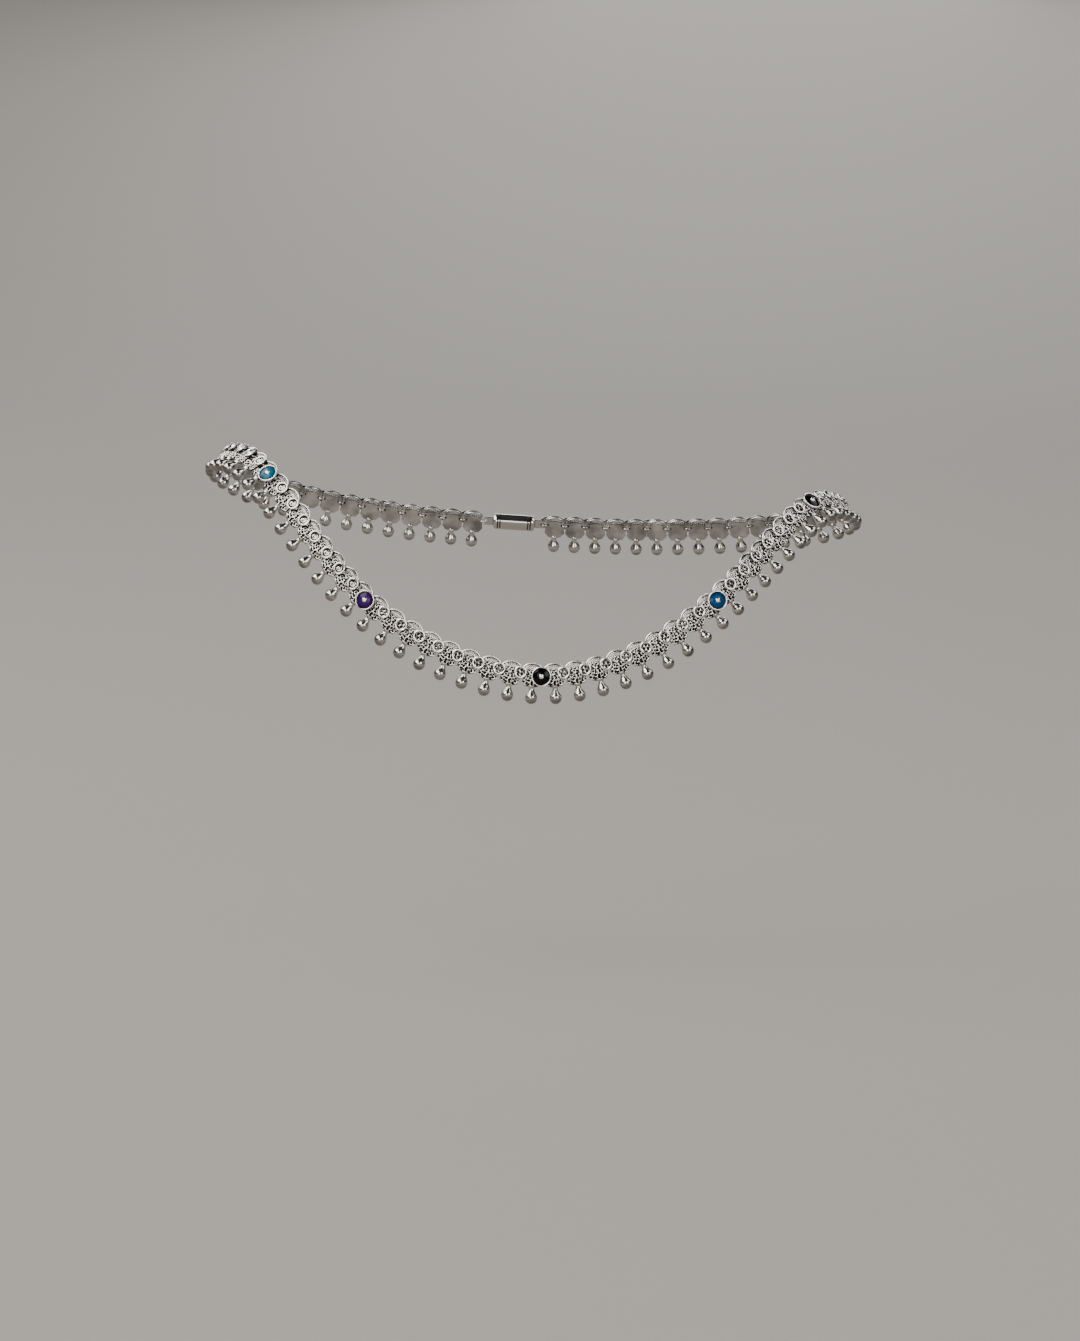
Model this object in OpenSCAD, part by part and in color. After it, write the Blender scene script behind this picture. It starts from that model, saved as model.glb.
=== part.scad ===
// Silver anklet: a closed loop of filigree links with pear drops, small rosettes
// and round enamel dots, held up in the draped form in which it is worn.
// Millimetres, +Z up, origin at the middle of the loop.
// Every link has its own frame: X runs along the loop, Z points to the arches,
// and the decorated face looks along minus Y, away from the ankle.

/* [Loop] */
// Distance from one jump ring to the next along the loop
pitch = 3.45; // [3.44:0.01:3.6]
// Number of link places in the whole loop
places = 81; // [79:2:83]
// Link places that the clasp takes at the middle of the back
clasp_places = 3; // [3:1:3]

/* [Link plate] */
// Thickness of the pierced plate
plate_t = 0.36; // [0.3:0.02:0.4]
// Half of the plate's width along the loop
half_w = 1.58; // [1.52:0.01:1.58]
// Radius of the fan's upper edge
fan_r = 2.5; // [2.46:0.01:2.52]
// Radius of the plate's lower edge
lower_r = 2.75; // [2.7:0.01:2.8]
// Radius of the half-round notch between two drops
notch_r = 0.5; // [0.4:0.02:0.55]
// Radius of the hole for a jump ring
hole_r = 0.25; // [0.22:0.01:0.25]

/* [Arch] */
// Radius of the outer arch wire's centre line
arch_r = 1.98; // [1.97:0.01:1.99]
// Radius of the inner arch wire's centre line
arch_inner_r = 1.76; // [1.76:0.01:1.78]
// Radius of the arch wires
arch_wire = 0.125; // [0.12:0.005:0.125]

/* [Drop] */
// Radius of the round end of the pear drop
ball_r = 0.985; // [0.9:0.005:1]
// Depth of the round end's centre below the jump rings
ball_depth = 4; // [3.95:0.01:4.1]
// Radius of the drop's neck
neck_r = 0.34; // [0.3:0.01:0.36]

/* [Rosette] */
// Radius of the rosette's disc
boss_r = 0.92; // [0.85:0.01:0.94]
// Place of the rosette along the link
boss_x = 1.5; // [1.48:0.01:1.52]
// Height of the rosette's underside over the middle of the plate
boss_under = 0.7; // [0.7:0.01:0.72]

/* [Enamel dot] */
// Outer radius of the dot's bezel
bezel_r = 1.6; // [1.55:0.01:1.6]
// Radius of the enamel
enamel_r = 1.29; // [1.28:0.01:1.29]
// Radius of the silver grain in the middle of the enamel
grain_r = 0.42; // [0.38:0.01:0.42]

/* [Jump ring] */
// Radius of the jump ring's centre line
ring_r = 0.5; // [0.49:0.01:0.5]
// Radius of the jump ring's wire
ring_wire = 0.09; // [0.08:0.01:0.1]

/* [Clasp] */
// Radius of the clasp's barrel
barrel_r = 1.3; // [1.1:0.05:1.4]
// Half of the barrel's length
barrel_half = 3.5; // [3.2:0.1:3.6]

/* [Hidden] */
silver = [0.82, 0.83, 0.85];
black = [0.03, 0.03, 0.04];
blue = [0.10, 0.27, 0.43];
purple = [0.20, 0.10, 0.31];
teal = [0.08, 0.35, 0.43];
hole_x = pitch / 2 - 0.47;
lower_z = 0.4;
fan_z = -1.8;
arch_z = -0.45;
arch_turn = 47;
drop_low = ball_depth + ball_r;
bezel_x = 1.42;
bezel_z = -0.5;

// Stations of the draped loop, starting at the lowest link in front and going
// counter-clockwise: along, back, up, and how far the face leans to the sky.
stations = [
    [0, 0, 0, 8],
    [15.2, 1, 3.6, 9],
    [26.6, 4, 11.2, 18],
    [34.4, 10.4, 18.4, 36],
    [42, 20.8, 24.8, 53],
    [46.4, 29.2, 24.8, 53],
    [48.6, 37.4, 23.2, 41],
    [46.6, 44.8, 21, 30],
    [40.6, 50.4, 19.2, 23],
    [29, 53, 18, 20],
    [14, 53.4, 17.8, 20],
    [0, 53.4, 18.4, 20],
    [-14, 53.4, 19.4, 20],
    [-28, 53, 21.2, 20],
    [-41.5, 50.4, 24.4, 24],
    [-49.2, 43.4, 28.6, 34],
    [-51.2, 34.4, 31.8, 50],
    [-48.8, 25.4, 33, 57],
    [-43.6, 16.6, 30.2, 54],
    [-36, 9.4, 20.6, 36],
    [-27.2, 4, 11.1, 17],
    [-15.2, 1, 3.6, 9]
];
middle = [-1, 27, 15];
steps = 16;

// The smooth closed curve through the stations
function pick(list, i) = list[(i + len(list)) % len(list)];
function pull(m, i) = 3 * (pick(stations, i + 1) - pick(stations, i - 1)) - pick(m, i - 1) - pick(m, i + 1);
function relax(m, n) = n == 0 ? m : relax([for (i = [0:len(m) - 1]) pull(m, i) / 4], n - 1);
slopes = relax([for (s = stations) [0, 0, 0, 0]], 24);
function between(i, t) =
    (2 * t * t * t - 3 * t * t + 1) * stations[i]
    + (t * t * t - 2 * t * t + t) * slopes[i]
    + (3 * t * t - 2 * t * t * t) * pick(stations, i + 1)
    + (t * t * t - t * t) * pick(slopes, i + 1);
curve = [for (i = [0:len(stations) - 1]) for (k = [0:steps - 1]) between(i, k / steps)];
function spot(p) = [p[0], p[1], p[2]];
spans = [for (i = [0:len(curve) - 1]) norm(spot(pick(curve, i + 1)) - spot(curve[i]))];
way = [for (i = 0, s = 0; i <= len(curve); s = s + spans[min(i, len(curve) - 1)], i = i + 1) s];
whole = way[len(curve)];
grow = places * pitch / whole;
function along(s, k) = lookup(s, [for (i = [0:len(curve)]) [way[i], pick(curve, i)[k]]]);

// The jump rings' places, one pitch apart on that curve
joints = [for (i = [0:places - 1]) [for (k = [0:3]) along(whole * i / places, k)]];
function at(i) = (spot(joints[i % places]) - middle) * grow;
function lean(i) = joints[i % places][3];

// A frame between two points: travel, inward, up the arch, and its own middle
function unit(v) = v / norm(v);
function square_to(v, t) = unit(v - (v * t) * t);
function facing(t, a) = square_to(cos(a) * unit([t[1], -t[0], 0]) + sin(a) * [0, 0, 1], t);
function frame_of(a, b, tilt) =
    let (t = unit(b - a))
    let (n = facing(t, tilt))
    [t, -n, cross(t, -n), (a + b) / 2];
function link_frame(i) = frame_of(at(i), at(i + 1), (lean(i) + lean(i + 1)) / 2);
function ring_frame(i) =
    let (t = unit(unit(at(i + 1) - at(i)) + unit(at(i) - at(i + places - 1))))
    let (n = facing(t, lean(i)))
    [t, -n, cross(t, -n), at(i)];
clasp_from = (places - clasp_places) / 2;
clasp_to = clasp_from + clasp_places;
clasp_frame = frame_of(at(clasp_from), at(clasp_to), 20);

module put(f) {
    multmatrix([
        [f[0][0], f[1][0], f[2][0], f[3][0]],
        [f[0][1], f[1][1], f[2][1], f[3][1]],
        [f[0][2], f[1][2], f[2][2], f[3][2]],
        [0, 0, 0, 1]
    ]) children();
}

// Stands a shape drawn in the XY plane up in the link's face at height h
module on_face(x, z, h) {
    translate([x, -h, z])
        rotate([90, 0, 0])
            children();
}

// The fan between its two edges, with shoulders that carry the arch
module fan_outline() {
    intersection() {
        translate([0, fan_z]) circle(r = fan_r, $fn = 72);
        translate([0, lower_z]) circle(r = lower_r, $fn = 72);
        square([2 * half_w, 12], center = true);
    }
    intersection() {
        translate([0, arch_z]) circle(r = arch_r + 0.06, $fn = 72);
        union() {
            translate([1.2, -0.3]) square([half_w - 1.2, 2]);
            translate([-half_w, -0.3]) square([half_w - 1.2, 2]);
        }
    }
}

module plate() {
    on_face(0, 0, -plate_t / 2)
        linear_extrude(height = plate_t)
            difference() {
                fan_outline();
                translate([hole_x, 0]) circle(r = hole_r, $fn = 36);
                translate([-hole_x, 0]) circle(r = hole_r, $fn = 36);
                translate([pitch / 2, -2.1]) circle(r = notch_r, $fn = 36);
                translate([-pitch / 2, -2.1]) circle(r = notch_r, $fn = 36);
            }
}

// Low dome on the fan that carries the grains
module fan_dome() {
    rise = 0.27;
    wide = 1.2;
    round_r = (wide * wide + rise * rise) / (2 * rise);
    on_face(0, -0.95, 0)
        rotate_extrude($fn = 72)
            intersection() {
                translate([0, plate_t / 2 + rise - round_r]) circle(r = round_r, $fn = 180);
                square([wide, 1]);
            }
}

// Two wires side by side along the arch
module arch_wires() {
    on_face(0, arch_z, 0.14)
        rotate([0, 0, 90 - arch_turn])
            rotate_extrude(angle = 2 * arch_turn, $fn = 72) {
                translate([arch_r, 0]) circle(r = arch_wire, $fn = 24);
                translate([arch_inner_r, 0]) circle(r = arch_wire, $fn = 24);
            }
}

// Pear drop with a thin neck and a round end
module drop() {
    rotate_extrude($fn = 48) {
        polygon([
            [0, -1.7],
            [0.52, -2.1],
            [neck_r, -2.55],
            [0.7, 0.65 - ball_depth],
            [0.7, -ball_depth],
            [0, -ball_depth]
        ]);
        intersection() {
            translate([0, -ball_depth]) circle(r = ball_r, $fn = 72);
            translate([0, -drop_low - 1]) square([ball_r + 1, drop_low]);
        }
    }
}

// Rosette: disc, beaded rim, inner ring and a bead in the middle
module boss() {
    face = boss_under + 0.17;
    on_face(boss_x, 0, 0)
        rotate_extrude($fn = 48)
            intersection() {
                union() {
                    translate([0, boss_under]) square([boss_r, 0.17]);
                    translate([boss_r - 0.06, face]) circle(r = 0.13, $fn = 24);
                    translate([0.47, face]) circle(r = 0.09, $fn = 24);
                    translate([0, face]) circle(r = 0.24, $fn = 24);
                }
                translate([0, boss_under]) square([2, 2]);
            }
    for (s = [-1, 1])
        on_face(0.98, 0.43 * s, 0.05)
            cylinder(r = 0.18, h = boss_under + 0.02, $fn = 24);
}

// Bezel cup with a round grain that stands up through the enamel
module bezel() {
    floor_top = boss_under + 0.18;
    on_face(bezel_x, bezel_z, 0)
        rotate_extrude($fn = 72) {
            translate([0, boss_under]) square([bezel_r, 0.18]);
            translate([enamel_r + 0.05, boss_under]) square([bezel_r - enamel_r - 0.05, 0.45]);
            translate([bezel_r - 0.13, boss_under + 0.45]) circle(r = 0.125, $fn = 24);
            translate([0, boss_under]) square([grain_r, 0.66]);
            intersection() {
                translate([0, boss_under + 0.4]) circle(r = 0.455 + 0.03, $fn = 36);
                translate([0, boss_under + 0.5]) square([grain_r, 1]);
            }
        }
    for (z = [-0.95, 0.4])
        on_face(0.92, z, 0.05)
            cylinder(r = 0.2, h = floor_top - 0.1, $fn = 24);
}

// One link: plate, dome, arch and drop in one piece, with a rosette or a dot's
// bezel soldered over its right end
module link(has_dot) {
    union() {
        plate();
        fan_dome();
        arch_wires();
        drop();
        if (has_dot) bezel();
        else boss();
    }
}

// Enamel as a domed ring around the grain
module enamel() {
    low = boss_under + 0.21;
    dome_r = 3;
    top = low + 0.45;
    on_face(bezel_x, bezel_z, 0)
        rotate_extrude($fn = 72)
            intersection() {
                translate([grain_r + 0.08, low]) square([enamel_r - grain_r - 0.08, 1]);
                translate([0, top - dome_r]) circle(r = dome_r, $fn = 180);
            }
}

module jump_ring() {
    rotate_extrude($fn = 36)
        translate([ring_r, 0]) circle(r = ring_wire, $fn = 16);
}

// Joints that carry a dot, counted from the lowest link
dot_steps = [0, 9, 17, 26, 34];
dot_joints = concat(dot_steps, [for (d = dot_steps) places - d]);
function dotted(i) = len([for (d = dot_joints) if (d == i + 1) d]) > 0;

module links(from, to) {
    color(silver)
        for (i = [from:to])
            put(link_frame(i)) link(dotted(i));
}

module rings(from, to) {
    color(silver)
        for (i = [from:to])
            put(ring_frame(i % places + (i % places == 0 ? places : 0))) jump_ring();
}

module dot(step, tint) {
    i = (step + places - 1) % places;
    color(tint)
        put(link_frame(i)) enamel();
}

module links_right() {
    links(0, clasp_from - 1);
}

module links_left() {
    links(clasp_to, places - 1);
}

module rings_right() {
    rings(1, clasp_from);
}

module rings_left() {
    rings(clasp_to, places);
}

// Plain barrel clasp with a flat holed tab at each end
module clasp() {
    reach = clasp_places * pitch / 2;
    color(silver)
        put(clasp_frame) {
            rotate([0, 90, 0])
                rotate_extrude($fn = 72) {
                    translate([0, -barrel_half + 0.4]) square([barrel_r, 2 * barrel_half - 0.8]);
                    translate([0, -barrel_half]) square([barrel_r - 0.4, 2 * barrel_half]);
                    for (s = [-1, 1])
                        translate([barrel_r - 0.4, s * (barrel_half - 0.4)])
                            circle(r = 0.4, $fn = 36);
                }
            difference() {
                translate([-reach + 0.145, -plate_t / 2, -0.7])
                    cube([2 * reach - 0.29, plate_t, 1.4]);
                for (s = [-1, 1])
                    translate([s * (reach - 0.47), plate_t, 0])
                        rotate([90, 0, 0])
                            cylinder(r = hole_r, h = 2 * plate_t, $fn = 36);
            }
        }
}

module dot_front() {
    dot(0, black);
}

module dot_right_1() {
    dot(dot_steps[1], blue);
}

module dot_right_2() {
    dot(dot_steps[2], black);
}

module dot_right_3() {
    dot(dot_steps[3], teal);
}

module dot_right_4() {
    dot(dot_steps[4], purple);
}

module dot_left_1() {
    dot(places - dot_steps[1], purple);
}

module dot_left_2() {
    dot(places - dot_steps[2], teal);
}

module dot_left_3() {
    dot(places - dot_steps[3], blue);
}

module dot_left_4() {
    dot(places - dot_steps[4], black);
}

links_right();
links_left();
rings_right();
rings_left();
clasp();
dot_front();
dot_right_1();
dot_right_2();
dot_right_3();
dot_right_4();
dot_left_1();
dot_left_2();
dot_left_3();
dot_left_4();
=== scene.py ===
from math import cos, hypot, pi, radians, sin, sqrt
from random import Random

import bpy
from mathutils import Matrix, Vector


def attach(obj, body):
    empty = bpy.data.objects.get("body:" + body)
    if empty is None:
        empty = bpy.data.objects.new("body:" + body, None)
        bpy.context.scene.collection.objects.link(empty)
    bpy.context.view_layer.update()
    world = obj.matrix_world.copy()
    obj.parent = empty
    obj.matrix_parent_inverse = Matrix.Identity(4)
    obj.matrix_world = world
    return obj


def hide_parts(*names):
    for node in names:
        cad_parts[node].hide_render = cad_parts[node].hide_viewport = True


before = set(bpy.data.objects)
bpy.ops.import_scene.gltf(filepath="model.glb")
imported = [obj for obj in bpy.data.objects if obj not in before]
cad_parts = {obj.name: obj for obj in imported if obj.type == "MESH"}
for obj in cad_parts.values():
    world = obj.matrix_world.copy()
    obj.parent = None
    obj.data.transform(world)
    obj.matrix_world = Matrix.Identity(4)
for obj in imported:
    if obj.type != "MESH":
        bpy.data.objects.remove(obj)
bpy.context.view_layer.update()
MM = 0.001

# The draped loop

# Stations of the loop in millimetres: along, back, up, and lean of the face in degrees
STATIONS = [Vector(s) for s in (
    (0, 0, 0, 8), (15.2, 1, 3.6, 9), (26.6, 4, 11.2, 18), (34.4, 10.4, 18.4, 36),
    (42, 20.8, 24.8, 53), (46.4, 29.2, 24.8, 53), (48.6, 37.4, 23.2, 41),
    (46.6, 44.8, 21, 30), (40.6, 50.4, 19.2, 23), (29, 53, 18, 20), (14, 53.4, 17.8, 20),
    (0, 53.4, 18.4, 20), (-14, 53.4, 19.4, 20), (-28, 53, 21.2, 20),
    (-41.5, 50.4, 24.4, 24), (-49.2, 43.4, 28.6, 34), (-51.2, 34.4, 31.8, 50),
    (-48.8, 25.4, 33, 57), (-43.6, 16.6, 30.2, 54), (-36, 9.4, 20.6, 36),
    (-27.2, 4, 11.1, 17), (-15.2, 1, 3.6, 9))]
# The middle of the loop, which becomes the anklet's origin
MIDDLE = Vector((-1, 27, 15))
# Points of the curve for each station, and rounds that settle its slopes
CURVE_STEPS, SLOPE_ROUNDS = 16, 24
# One link's length in millimetres, the link places of the whole loop, and those that the clasp takes
PITCH, PLACES, CLASP_PLACES = 3.45, 81, 3
CLASP_LEAN = 20
# The meeting places of two links that carry a dot, counted from the front, and the dot's colour
DOTS = {"dot_front": (0, "black"),
        "dot_right_1": (9, "blue"), "dot_right_2": (17, "black"),
        "dot_right_3": (26, "teal"), "dot_right_4": (34, "purple"),
        "dot_left_1": (-9, "purple"), "dot_left_2": (-17, "teal"),
        "dot_left_3": (-26, "blue"), "dot_left_4": (-34, "black")}


def loop_curve():
    """Points of a smooth closed curve through the stations."""
    n = len(STATIONS)
    slopes = [Vector((0, 0, 0, 0)) for _ in STATIONS]
    for _ in range(SLOPE_ROUNDS):
        slopes = [(3 * (STATIONS[(i + 1) % n] - STATIONS[i - 1])
                   - slopes[i - 1] - slopes[(i + 1) % n]) / 4 for i in range(n)]
    points = []
    for i in range(n):
        a, b = STATIONS[i], STATIONS[(i + 1) % n]
        slope_a, slope_b = slopes[i], slopes[(i + 1) % n]
        for k in range(CURVE_STEPS):
            t = k / CURVE_STEPS
            points.append((2 * t**3 - 3 * t**2 + 1) * a + (t**3 - 2 * t**2 + t) * slope_a
                          + (3 * t**2 - 2 * t**3) * b + (t**3 - t**2) * slope_b)
    return points + [points[0].copy()]


def loop_joints():
    """The jump rings' places, one pitch apart along the curve, and the face's lean there."""
    points = loop_curve()
    way = [0.0]
    for p, q in zip(points, points[1:]):
        way.append(way[-1] + (q.xyz - p.xyz).length)
    grow = PLACES * PITCH / way[-1]
    k = 0
    found = []
    for i in range(PLACES):
        s = way[-1] * i / PLACES
        while way[k + 1] < s:
            k += 1
        p = points[k].lerp(points[k + 1], (s - way[k]) / (way[k + 1] - way[k]))
        found.append(((p.xyz - MIDDLE) * grow, p.w))
    return found


JOINTS = loop_joints()
CLASP_FROM = (PLACES - CLASP_PLACES) // 2
CLASP_TO = CLASP_FROM + CLASP_PLACES


def frame_at(travel, lean, place):
    """A matrix from a link's own millimetres to the anklet's metres."""
    along = travel.normalized()
    level = Vector((along.y, -along.x, 0)).normalized()
    outward = cos(radians(lean)) * level + sin(radians(lean)) * Vector((0, 0, 1))
    face = (outward - outward.dot(along) * along).normalized()
    up = along.cross(-face)
    matrix = Matrix.Identity(4)
    for row in range(3):
        for column, side in enumerate((along, -face, up, place)):
            matrix[row][column] = side[row]
    return Matrix.Scale(MM, 4) @ matrix


def link_place(i):
    """Where link i stands: halfway between its two jump rings."""
    (a, lean_a), (b, lean_b) = JOINTS[i % PLACES], JOINTS[(i + 1) % PLACES]
    return frame_at(b - a, (lean_a + lean_b) / 2, (a + b) / 2)


def ring_place(i):
    """Where jump ring i stands, turned halfway between the links beside it."""
    a, b, c = JOINTS[i - 1][0], JOINTS[i % PLACES][0], JOINTS[(i + 1) % PLACES][0]
    return frame_at((c - b).normalized() + (b - a).normalized(), JOINTS[i % PLACES][1], b)


def clasp_place():
    """Where the clasp stands: halfway along the places that it takes."""
    a, b = JOINTS[CLASP_FROM][0], JOINTS[CLASP_TO][0]
    return frame_at(b - a, CLASP_LEAN, (b + a) / 2)


# Camera

# The photograph is 1080 px wide. The front dot lies 3.5 px right of its middle and 3.2 px below it
PHOTO_WIDTH = 1080
PX = 0.16 * MM
DOT_RIGHT, DOT_BELOW = 3.5 * PX, 3.2 * PX
LOOK_DOWN, AWAY = radians(7), 6000 * PX
FILM_WIDTH = 36
SEES_FROM, SEES_TO = 0.05, 20


def make_camera():
    """The camera, about a metre away on a long lens, looking down a little."""
    back = Vector((0, -cos(LOOK_DOWN), sin(LOOK_DOWN)))
    up = Vector((0, sin(LOOK_DOWN), cos(LOOK_DOWN)))
    aim = JOINTS[0][0] * MM + Vector((-DOT_RIGHT, 0, 0)) + DOT_BELOW * up
    camera_data = bpy.data.cameras.new("camera")
    camera_data.sensor_fit = "HORIZONTAL"
    camera_data.sensor_width = FILM_WIDTH
    camera_data.lens = FILM_WIDTH * AWAY / (PHOTO_WIDTH * PX)
    camera_data.clip_start, camera_data.clip_end = SEES_FROM, SEES_TO
    camera = bpy.data.objects.new("camera", camera_data)
    camera.location = aim + back * AWAY
    camera.rotation_euler = (pi / 2 - LOOK_DOWN, 0, 0)
    bpy.context.scene.collection.objects.link(camera)
    bpy.context.scene.camera = camera


make_camera()


# Shader groups and materials


def new_group(name, inputs, outputs):
    """A node group with its sockets made, and the nodes that stand for them inside it."""
    group = bpy.data.node_groups.new(name, "ShaderNodeTree")
    for label, kind, value in inputs:
        socket = group.interface.new_socket(label, in_out="INPUT", socket_type=kind)
        socket.default_value = value
    for label, kind in outputs:
        group.interface.new_socket(label, in_out="OUTPUT", socket_type=kind)
    return group, group.nodes.new("NodeGroupInput"), group.nodes.new("NodeGroupOutput")


def new_node(tree, kind, values=None, **settings):
    """A new node with its settings, and then the values of its sockets."""
    node = tree.nodes.new("ShaderNode" + kind)
    for setting, value in settings.items():
        setattr(node, setting, value)
    for socket, value in (values or {}).items():
        node.inputs[socket].default_value = value
    return node


def new_material(name, values):
    """A material, its node tree, the call that joins the tree's sockets, and its shader."""
    material = bpy.data.materials.new(name)
    material.use_nodes = True
    tree = material.node_tree
    shader = tree.nodes["Principled BSDF"]
    for socket, value in values.items():
        shader.inputs[socket].default_value = value
    return material, tree, tree.links.new, shader


def silver_wear_group():
    """Polish on the high places, dark in the low ones, both where they are tarnished and where shade is
    painted, and faint rubbing marks.
    """
    tree, given, put_out = new_group(
        "silver_wear",
        [("Polish", "NodeSocketFloat", 1), ("Grain Scale", "NodeSocketFloat", 900),
         ("Bright", "NodeSocketColor", (0.93, 0.92, 0.90, 1)),
         ("Tarnish And Shade", "NodeSocketColor", (0.05, 0.045, 0.042, 1)),
         ("Smooth", "NodeSocketFloat", 0.1), ("Rough", "NodeSocketFloat", 0.45)],
        [("Color", "NodeSocketColor"), ("Roughness", "NodeSocketFloat"), ("Height", "NodeSocketFloat")])
    connect = tree.links.new
    place = new_node(tree, "TexCoord")
    cloud = new_node(tree, "TexNoise", {"Scale": 420, "Detail": 4})
    fine = new_node(tree, "TexNoise", {"Detail": 3})
    connect(place.outputs["Object"], cloud.inputs["Vector"])
    connect(place.outputs["Object"], fine.inputs["Vector"])
    connect(given.outputs["Grain Scale"], fine.inputs["Scale"])
    stain = new_node(tree, "MapRange", {"From Min": 0.3, "From Max": 0.7, "To Min": -0.1, "To Max": 0.07})
    connect(cloud.outputs["Fac"], stain.inputs["Value"])
    level = new_node(tree, "Math", operation="ADD", use_clamp=True)
    connect(given.outputs["Polish"], level.inputs[0])
    connect(stain.outputs["Result"], level.inputs[1])
    curve = new_node(tree, "MapRange", {"From Min": 0.12, "From Max": 0.72},
                     interpolation_type="SMOOTHSTEP")
    connect(level.outputs[0], curve.inputs["Value"])
    tone = new_node(tree, "Mix", data_type="RGBA")
    connect(curve.outputs["Result"], tone.inputs["Factor"])
    connect(given.outputs["Tarnish And Shade"], tone.inputs["A"])
    connect(given.outputs["Bright"], tone.inputs["B"])
    gloss = new_node(tree, "Mix")
    connect(curve.outputs["Result"], gloss.inputs["Factor"])
    connect(given.outputs["Rough"], gloss.inputs["A"])
    connect(given.outputs["Smooth"], gloss.inputs["B"])
    scuff = new_node(tree, "Math", {1: 0.08}, operation="MULTIPLY_ADD")
    connect(fine.outputs["Fac"], scuff.inputs[0])
    connect(gloss.outputs["Result"], scuff.inputs[2])
    connect(tone.outputs["Result"], put_out.inputs["Color"])
    connect(scuff.outputs[0], put_out.inputs["Roughness"])
    connect(fine.outputs["Fac"], put_out.inputs["Height"])
    return tree


SILVER_WEAR = silver_wear_group()


def silver_material(name, smooth, rough, bump, bright, tarnish_and_shade, grain=900):
    """Worn silver: smooth and bright where it is polished, rough and dark where it isn't, both where it is
    tarnished and where shade is painted.
    """
    material, tree, connect, shader = new_material(name, {"Metallic": 1})
    wear = new_node(tree, "Group", {"Smooth": smooth, "Rough": rough, "Bright": bright,
                                    "Tarnish And Shade": tarnish_and_shade, "Grain Scale": grain}, node_tree=SILVER_WEAR)
    polished = new_node(tree, "Attribute", attribute_name="polish")
    connect(polished.outputs["Fac"], wear.inputs["Polish"])
    connect(wear.outputs["Color"], shader.inputs["Base Color"])
    connect(wear.outputs["Roughness"], shader.inputs["Roughness"])
    relief = new_node(tree, "Bump", {"Strength": bump, "Distance": 0.02 * MM})
    connect(wear.outputs["Height"], relief.inputs["Height"])
    connect(relief.outputs["Normal"], shader.inputs["Normal"])
    return material


# The dark colours below are near black: the tarnished low places, and painted shade in the pits, gaps and
# hollows.
FILIGREE = silver_material("filigree_silver", smooth=0.16, rough=0.45, bump=0.25,
                           bright=(0.93, 0.9, 0.86, 1), tarnish_and_shade=(0.008, 0.0065, 0.0055, 1))
LACE = silver_material("lace_silver", smooth=0.13, rough=0.45, bump=0.3,
                       bright=(0.97, 0.94, 0.895, 1), tarnish_and_shade=(0.01, 0.008, 0.0065, 1))
RIMS = silver_material("bright_silver", smooth=0.12, rough=0.4, bump=0.12,
                       bright=(0.96, 0.935, 0.9, 1), tarnish_and_shade=(0.016, 0.013, 0.011, 1))
# The drops and the clasp get a darker copy of the same silver: painted shade, standing in for darker
# reflections.
DROPS = silver_material("drop_silver", smooth=0.11, rough=0.3, bump=0.05,
                        bright=(0.5, 0.48, 0.455, 1), tarnish_and_shade=(0.03, 0.026, 0.022, 1), grain=500)


def enamel_material(name, deep, lit):
    """Glassy enamel with tiny specks in its depth, painted darker towards its rim and lighter further in:
    painted shade at the rim and a painted reflection round the grain.
    """
    material, tree, connect, shader = new_material(name, {"Roughness": 0.05, "Specular IOR Level": 0.15})
    inner = new_node(tree, "Attribute", attribute_name="polish")
    place = new_node(tree, "TexCoord")
    specks = new_node(tree, "TexNoise", {"Scale": 1400})
    connect(place.outputs["Object"], specks.inputs["Vector"])
    blend = new_node(tree, "Math", {1: 0.35}, operation="MULTIPLY_ADD")
    connect(specks.outputs["Fac"], blend.inputs[0])
    connect(inner.outputs["Fac"], blend.inputs[2])
    # The lighter tone further in is a painted reflection, and the darker tone at the rim is painted shade.
    tone = new_node(tree, "MapRange", {"From Min": 0.1, "From Max": 1.25})
    connect(blend.outputs[0], tone.inputs["Value"])
    colour = new_node(tree, "Mix", {"A": deep, "B": lit}, data_type="RGBA")
    connect(tone.outputs["Result"], colour.inputs["Factor"])
    connect(colour.outputs["Result"], shader.inputs["Base Color"])
    return material


ENAMELS = {
    "black": enamel_material("black_enamel", (0.0008, 0.0008, 0.001, 1), (0.002, 0.002, 0.0024, 1)),
    "blue": enamel_material("blue_enamel", (0.001, 0.012, 0.04, 1), (0.004, 0.06, 0.17, 1)),
    "purple": enamel_material("purple_enamel", (0.007, 0.001, 0.022, 1), (0.04, 0.006, 0.1, 1)),
    "teal": enamel_material("teal_enamel", (0.001, 0.018, 0.035, 1), (0.004, 0.11, 0.17, 1)),
}


# Hand tools

# Patterns are drawn in a link's own millimetres: x runs along the chain and z up. The height h is how far
# a point stands out from the middle of the plate's thickness, and is the mesh's -Y
MERGE = 0.002


def clear_selection():
    """Leaves edit mode and deselects everything."""
    if bpy.context.object and bpy.context.object.mode != "OBJECT":
        bpy.ops.object.mode_set(mode="OBJECT")
    bpy.ops.object.select_all(action="DESELECT")


def pick_only(*pieces):
    """Selects these pieces alone and makes the first one active."""
    clear_selection()
    for piece in pieces:
        piece.select_set(True)
    bpy.context.view_layer.objects.active = pieces[0]


def settle(name):
    """Gives the fresh primitive its name and puts its place into its mesh."""
    piece = bpy.context.object
    piece.name = name
    bpy.ops.object.transform_apply(location=True, rotation=True, scale=True)
    return piece


def merge_close(piece, distance=MERGE):
    """Merges the points that lie together and turns the faces outwards."""
    pick_only(piece)
    bpy.ops.object.mode_set(mode="EDIT")
    bpy.ops.mesh.select_all(action="SELECT")
    bpy.ops.mesh.remove_doubles(threshold=distance)
    bpy.ops.mesh.normals_make_consistent(inside=False)
    bpy.ops.object.mode_set(mode="OBJECT")
    return piece


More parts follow.
